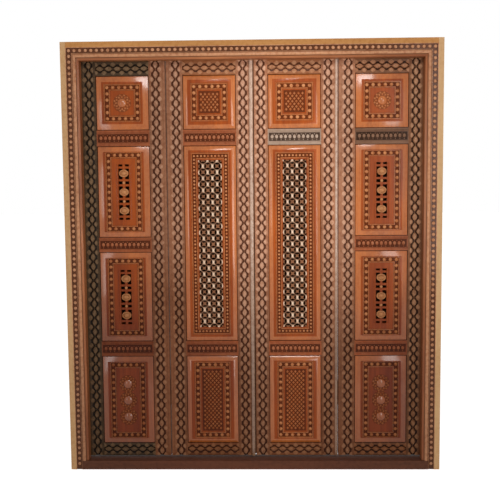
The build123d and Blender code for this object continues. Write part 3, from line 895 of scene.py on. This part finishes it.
def make_petal_rail(node, finish, bar_finish):
    """A rail between panels, with a raised bar of upright petals and rows of small pearls."""
    low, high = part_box(node)
    width, height = high.x - low.x, high.z - low.z
    middle_x, middle_z = (low.x + high.x) / 2, (low.z + high.z) / 2
    front = LEAF_FRONT - BAR_RISE
    bar = block(width - 2 * BAR_MARGIN, BAR_H, BAR_ROOT + BAR_RISE)
    piece = Piece(f"carved_{node}", finish, bar_finish)
    piece.add(block(width, height, LEAF_BACK - LEAF_FRONT), at(middle_x, middle_z, LEAF_BACK), ON_BOARD)
    piece.add(bar, at(middle_x, middle_z, LEAF_FRONT + BAR_ROOT), ON_BAR)
    for x in evenly(low.x + ARCH_PITCH, high.x - ARCH_PITCH, ARCH_PITCH):
        piece.add(ARCH_PETAL, at(x, middle_z + ARCH_FOOT, front), ON_BAR)
        piece.add(TINY_PEARL, at(x, middle_z + ARCH_PEARL, front), ON_BAR)
    for x in evenly(low.x + 1.5 * ARCH_PITCH, high.x - 1.5 * ARCH_PITCH, ARCH_PITCH):
        piece.add(TINY_PEARL, at(x, middle_z + TOP_PEARL, front), ON_BAR)
    fillet = rod(FILLET_R, width, 8)
    for lift in RAIL_FILLETS:
        piece.add(fillet, at(middle_x, middle_z + lift, LEAF_FRONT, QUARTER_TURN), ON_BOARD)
    piece.done_for(node)


# Panels

# SUNK faces take the groove wood, whose painted shade darkens the quirks, grooves and pearl band; BEVEL faces
# take the lighter bevel wood, a painted highlight
PLAIN, SUNK, BEVEL, CARVED = range(4)


def field_steps(bevel, ring_width, ring_height):
    """Steps of a raised panel: a quirk, its bevel, a groove, a sunk band for pearls and another groove."""
    quirk = -BEVEL_RISE - QUIRK_DEPTH
    groove = (ring_width + RING_BAND + RING_TO_GROOVE, ring_height + RING_BAND + RING_TO_GROOVE)
    return [
        (0, quirk, PLAIN), (QUIRK_W, quirk, SUNK), (WALL_W, -BEVEL_RISE, SUNK),
        (bevel - QUIRK_W - WALL_W, 0.0, BEVEL), (SLOPE_W, 0.0, PLAIN, groove),
        (WALL_W, -GROOVE_DEPTH, SUNK), (GROOVE_W, -GROOVE_DEPTH, SUNK),
        (SLOPE_W, FILLET_RISE, BEVEL), (FILLET_W, FILLET_RISE, BEVEL), (SLOPE_W, 0.0, BEVEL),
        (WALL_W, -RING_DEPTH, SUNK), (RING_BAND - 2 * WALL_W, -RING_DEPTH, SUNK), (WALL_W, 0.0, SUNK),
        (SLOPE_W, FILLET_RISE, BEVEL), (FILLET_W, FILLET_RISE, BEVEL),
        (SLOPE_W, -GROOVE_DEPTH, SUNK), (GROOVE_W, -GROOVE_DEPTH, SUNK), (WALL_W, 0.0, SUNK),
    ]


def panel_piece(node, bevel, ring, carved, opening=None, pitch=PEARL_PITCH, bead=PEARL):
    """A raised panel with its ring of pearls. carved holds the finishes of what it carries.

    Gives the piece and its middle.
    """
    low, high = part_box(node)
    middle = ((low.x + high.x) / 2, (low.z + high.z) / 2)
    piece = Piece(f"carved_{node}", panel_wood, groove_wood, bevel_wood, *carved)
    board = stepped_block(
        high.x - low.x, high.z - low.z, PANEL_FRONT - PANEL_BACK, field_steps(bevel, *ring), opening
    )
    piece.add(board, at(*middle, PANEL_FRONT), PLAIN)
    for x, y in ring_places(*ring, pitch):
        piece.add(bead, at(middle[0] + x, middle[1] + y, PANEL_FRONT + RING_DEPTH), SUNK)
    return piece, middle


def rosette(piece, x, z):
    """A boss on a round of petals and a round of small pearls."""
    pearl_sink = 0.001
    petal_out = Matrix.Translation((0, ROSE_PETAL_REACH, 0))
    pearl_out = Matrix.Translation((0, ROSE_PEARL_REACH, 0))
    piece.add(ROSE_PLATE, at(x, z, PANEL_FRONT), CARVED)
    for step in range(ROSE_PETALS):
        turn = math.tau * step / ROSE_PETALS
        between = math.tau * (step + 0.5) / ROSE_PETALS
        piece.add(PETAL, at(x, z, PANEL_FRONT, turn) @ petal_out, CARVED)
        piece.add(SMALL_PEARL, at(x, z, PANEL_FRONT + pearl_sink, between) @ pearl_out, CARVED)
    piece.add(BOSS, at(x, z, PANEL_FRONT), BEVEL)


def disc_column(piece, x, z):
    """Discs one above another in the slot, joined by a spine and by cross bars."""
    front = PANEL_FRONT + SLOT_SINK
    cross_bar, bar_foot = block(*CROSS_BAR), front + CROSS_BAR_SINK + CROSS_BAR[2]
    disc_back, back_foot = block(*DISC_BACK), front + DISC_BACK_SINK + DISC_BACK[2]
    fillet = rod(SLOT_FILLET_R, SLOT[1], 8)
    piece.add(block(*SPINE), at(x, z, front + SPINE[2]), PLAIN)
    for lift in CROSS_BAR_LIFTS:
        for way in (-1, 1):
            piece.add(cross_bar, at(x, z + way * lift, bar_foot), PLAIN)
    for lift in (-DISC_SPACING / 2, DISC_SPACING / 2):
        piece.add(LINK_BEAD, at(x, z + lift, front), CARVED)
    for lift in (-DISC_SPACING, 0.0, DISC_SPACING):
        piece.add(disc_back, at(x, z + lift, back_foot), CARVED)
        piece.add(ROSE_DISC, at(x, z + lift, front + DISC_SINK) @ Matrix.Diagonal(DISC_STRETCH), CARVED)
    for way in (-1, 1):
        for reach in SLOT_FILLETS:
            piece.add(fillet, at(x + way * reach, z, PANEL_FRONT), PLAIN)


def net_relief(piece, middle, width, height):
    """Rows of small lozenges close together on a ground darkened by painted shade, each with a small pearl.
    """
    ground = block(width + 2 * NET_MARGIN, height + 2 * NET_MARGIN, NET_GROUND_T)
    piece.add(ground, at(*middle, PANEL_FRONT + NET_GROUND_SINK), CARVED)
    columns, rows = round(width / NET_PITCH[0]), round(height / NET_PITCH[1])
    across, up = width / columns, height / rows
    for row in range(2 * rows - 1):
        shift = row % 2
        for column in range(columns - shift):
            x = middle[0] + (column + 0.5 + 0.5 * shift) * across - width / 2
            z = middle[1] + (row / 2 + 0.5) * up - height / 2
            piece.add(NET_LOZENGE, at(x, z, PANEL_FRONT), CARVED)
            piece.add(TINY_PEARL, at(x, z, PANEL_FRONT - NET_PEARL_LIFT), CARVED)


# Leaves

# The left outer leaf's near-black woods are painted shade
STILE_FINISHES = {
    "outer_hinge_stile_left": (dark_stile_wood, dark_link_wood),
    "outer_hinge_stile_right": (brown_stile_wood, brown_link_wood),
}
CHAINED_RAIL_FINISHES = {
    "outer_top_rail_left": (dark_rail_wood, dark_link_wood),
    "outer_bottom_rail_left": (dark_rail_wood, dark_link_wood),
    "outer_top_rail_right": (brown_rail_wood, rail_link_wood),
    "outer_bottom_rail_right": (brown_rail_wood, rail_link_wood),
}
PETAL_RAIL_FINISHES = {
    "outer_frieze_rail_right": (grey_rail_wood, grey_bar_wood),
    "inner_frieze_rail_right": (pale_rail_wood, pale_bar_wood),
}

for node in nodes:
    if "stile" not in node:
        continue
    side = -1 if node.endswith("left") else 1
    if "hinge_stile" not in node and not node.startswith("inner_fold"):
        side = -side
    edge = "bead" if "fold_stile" in node else "plain"
    if node == "meeting_stile_left":
        edge = "astragal"
    # These two edges are glossy and get the lighter wood as a painted highlight
    glossy_and_highlit = node in ("meeting_stile_left", "inner_fold_stile_right")
    finishes = STILE_FINISHES.get(node, (stile_wood, link_wood))
    make_stile(node, side, edge, *finishes, astragal_wood if glossy_and_highlit else stile_wood)

for node in nodes:
    finishes = CHAINED_RAIL_FINISHES.get(node, (rail_wood, rail_link_wood))
    if "top_rail" in node:
        make_chained_rail(node, *finishes, TOP_CHAIN_LIFT)
    elif "bottom_rail" in node:
        make_chained_rail(node, *finishes, BOTTOM_CHAIN_LIFT)
    elif "rail" in node:
        make_petal_rail(node, *PETAL_RAIL_FINISHES.get(node, (petal_rail_wood, bar_wood)))

for side in ("left", "right"):
    node = f"outer_top_panel_{side}"
    piece, middle = panel_piece(node, BEVEL_W, TOP_RING, [net_wood])
    rosette(piece, *middle)
    piece.done_for(node)

    node = f"outer_bottom_panel_{side}"
    piece, middle = panel_piece(node, BEVEL_W, BOTTOM_RING, [net_wood])
    for lift in (-BOSS_SPACING, 0.0, BOSS_SPACING):
        rosette(piece, middle[0], middle[1] + lift)
    piece.done_for(node)

    for level in ("upper", "lower"):
        node = f"outer_{level}_pierced_panel_{side}"
        piece, middle = panel_piece(node, BEVEL_W, PIERCED_RING, [disc_wood], opening=SLOT)
        disc_column(piece, *middle)
        piece.done_for(node)

    node = f"inner_top_panel_{side}"
    piece, middle = panel_piece(node, NARROW_BEVEL_W, TOP_RING, [net_wood])
    net_relief(piece, middle, *TOP_NET)
    piece.done_for(node)

    node = f"inner_tall_lattice_panel_{side}"
    piece, middle = panel_piece(
        node, NARROW_BEVEL_W, LATTICE_RING, [lattice_wood, gem_wood],
        opening=LATTICE_OPENING, pitch=SMALL_PEARL_PITCH, bead=SMALL_PEARL,
    )
    for shape, finish in zip(LATTICE, (CARVED, CARVED + 1)):
        piece.add(shape, at(*middle, PANEL_FRONT + LATTICE_SINK), finish)
    piece.done_for(node)

    node = f"inner_bottom_panel_{side}"
    piece, middle = panel_piece(node, NARROW_BEVEL_W, BOTTOM_RING, [net_wood])
    net_relief(piece, middle, *BOTTOM_NET)
    piece.done_for(node)


# Frame, hinges and back boards keep their CAD shapes. The frame gets its pearls and each its finish.

pearl_x = cad_box[1].x - FRAME_PEARL_INSET
pearl_top = cad_box[1].z - FRAME_PEARL_INSET
jamb_pearls = evenly(FIRST_FRAME_PEARL, pearl_top, FRAME_PEARL_PITCH)
head_pearls = evenly(-pearl_x, pearl_x, FRAME_PEARL_PITCH)[1:-1]
for name, places in (
    ("left", [(-pearl_x, z) for z in jamb_pearls]),
    ("right", [(pearl_x, z) for z in jamb_pearls]),
    ("head", [(x, pearl_top) for x in head_pearls]),
):
    pearls = Piece(f"frame_pearls_{name}", frame_wood)
    for x, z in places:
        pearls.add(FRAME_PEARL, at(x, z, BAND_FLOOR))
    pearls.done("frame", "carved_wood")

FRAME_FINISHES = {
    "frame_jamb_left": frame_wood,
    "frame_jamb_right": frame_wood,
    "frame_head": frame_wood_across,
    "frame_sill": sill_wood,
    "outer_strip_left": strip_wood,
    "outer_strip_right": strip_wood,
    "outer_strip_top": strip_wood_across,
}


def dress(node, finish):
    """Gives a CAD piece its finish."""
    nodes[node].data.materials.clear()
    nodes[node].data.materials.append(finish)


for node in nodes:
    if node in FRAME_FINISHES:
        dress(node, FRAME_FINISHES[node])
    elif "hinge_pins" in node or "hinge_eyes" in node:
        dress(node, iron)
    elif "back_board" in node:
        dress(node, board_wood)


# Floor, light and camera

WHITE = (1.0, 1.0, 1.0, 1.0)
FLOOR_GREY = (0.86, 0.86, 0.86, 1.0)
ROOM_GREY = (0.50, 0.50, 0.50, 1.0)
FLOOR_SIZE = 60.0
FLOOR_GLOW = 0.6
LAMP_TARGET = (0.0, 0.0, 1.2)
CAMERA_PLACE = (0.0847, -4.0544, 1.4638)
CAMERA_TURN = 0.0244
CAMERA_DROP = 0.0871
CAMERA_ROLL = -0.0086
CAMERA_LENS = 58.66


def seen_ray(tree):
    """1 for rays that see the background: from the camera, through a clear surface or off a glossy one."""
    rays = tree.nodes.new("ShaderNodeLightPath").outputs
    seen = maths(tree, "MAXIMUM", rays["Is Camera Ray"], rays["Is Transmission Ray"])
    return maths(tree, "MAXIMUM", seen, rays["Is Glossy Ray"])


def softbox(name, place, target, width, height, power):
    """A large soft lamp that points at its target."""
    lamp = bpy.data.lights.new(name, "AREA")
    lamp.shape = "RECTANGLE"
    lamp.size = width
    lamp.size_y = height
    lamp.energy = power
    stand = bpy.data.objects.new(name, lamp)
    stand.location = place
    stand.rotation_euler = (Vector(target) - Vector(place)).to_track_quat("-Z", "Y").to_euler()
    bpy.context.scene.collection.objects.link(stand)


floor_material, floor_tree, floor_shader = new_material("pale_floor")
floor_shader.inputs["Base Color"].default_value = FLOOR_GREY
floor_shader.inputs["Roughness"].default_value = 0.8
floor_shader.inputs["Emission Color"].default_value = WHITE
glow = maths(floor_tree, "MULTIPLY", seen_ray(floor_tree), FLOOR_GLOW)
floor_tree.links.new(glow, floor_shader.inputs["Emission Strength"])
bpy.ops.mesh.primitive_plane_add(size=FLOOR_SIZE)
floor = bpy.context.object
floor.name = "floor"
floor.data.materials.append(floor_material)

world = bpy.data.worlds.new("studio")
bpy.context.scene.world = world
world.use_nodes = True
background = world.node_tree.nodes["Background"]
backdrop = mixed(world.node_tree, seen_ray(world.node_tree), ROOM_GREY, WHITE)
world.node_tree.links.new(backdrop, background.inputs["Color"])
background.inputs["Strength"].default_value = 1.0

softbox("lamp_over_camera", (0.1, -3.1, 3.4), LAMP_TARGET, 0.9, 0.6, 40.0)
softbox("lamp_right", (1.65, -3.2, 1.6), LAMP_TARGET, 0.9, 2.0, 44.0)
softbox("lamp_left", (-2.4, -3.2, 1.4), (0.0, 0.0, 1.1), 0.6, 1.8, 20.0)

camera_data = bpy.data.cameras.new("camera")
camera_data.sensor_width = 36.0
camera_data.lens = CAMERA_LENS
camera = bpy.data.objects.new("camera", camera_data)
bpy.context.scene.collection.objects.link(camera)
camera.matrix_world = (
    Matrix.Translation(CAMERA_PLACE)
    @ Matrix.Rotation(CAMERA_TURN, 4, "Z")
    @ Matrix.Rotation(math.radians(90) - CAMERA_DROP, 4, "X")
    @ Matrix.Rotation(CAMERA_ROLL, 4, "Z")
)
bpy.context.scene.camera = camera
bpy.context.scene.view_settings.view_transform = "Standard"
